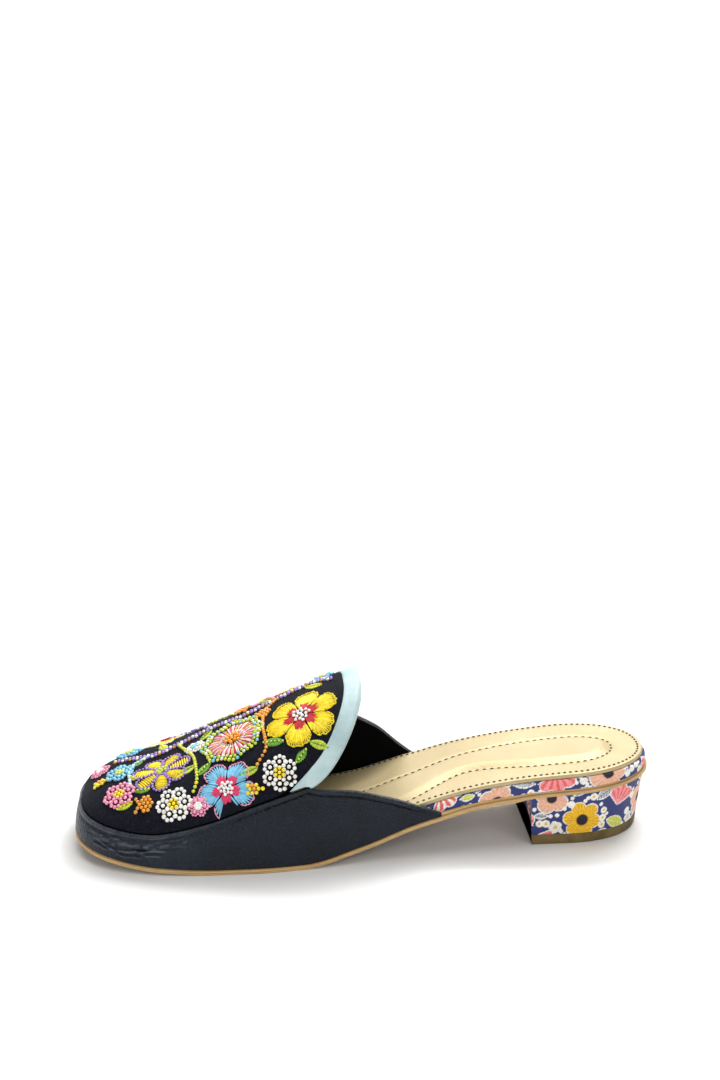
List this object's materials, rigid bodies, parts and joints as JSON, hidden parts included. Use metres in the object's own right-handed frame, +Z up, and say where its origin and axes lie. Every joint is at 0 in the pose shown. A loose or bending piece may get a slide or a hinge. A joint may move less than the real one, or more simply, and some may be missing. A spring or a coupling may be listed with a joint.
{
  "type": "mule shoe",
  "caption": "Backless slip-on mule with a beaded apron front, a bound rounded tongue, a padded sock on a wrapped platform, a thin outsole and a low block heel.",
  "frame": {"origin": "on the floor under the middle of the shoe's bounding box", "axes": "+Z up, the toe points to -X, the outer side of the foot is towards -Y"},
  "size_m": [0.2486, 0.0852, 0.0701],
  "materials": {
    "tan_outsole": "satin",
    "printed_cloth": "woven, matte",
    "gold_sock": "metallic, soft",
    "lift_rubber": "matte",
    "black_leather": "semi-gloss, fine grain",
    "apron_cloth": "matte",
    "pale_binding": "satin",
    "seed_beads": "gloss",
    "thread": "silky"
  },
  "bodies": {
    "root": {"outsole": "tan_outsole", "insole_platform": "printed_cloth", "sock": "gold_sock", "heel_block": "printed_cloth", "top_lift": "lift_rubber", "upper": "black_leather", "apron": "apron_cloth", "collar_binding": "pale_binding"}
  },
  "joints": []
}
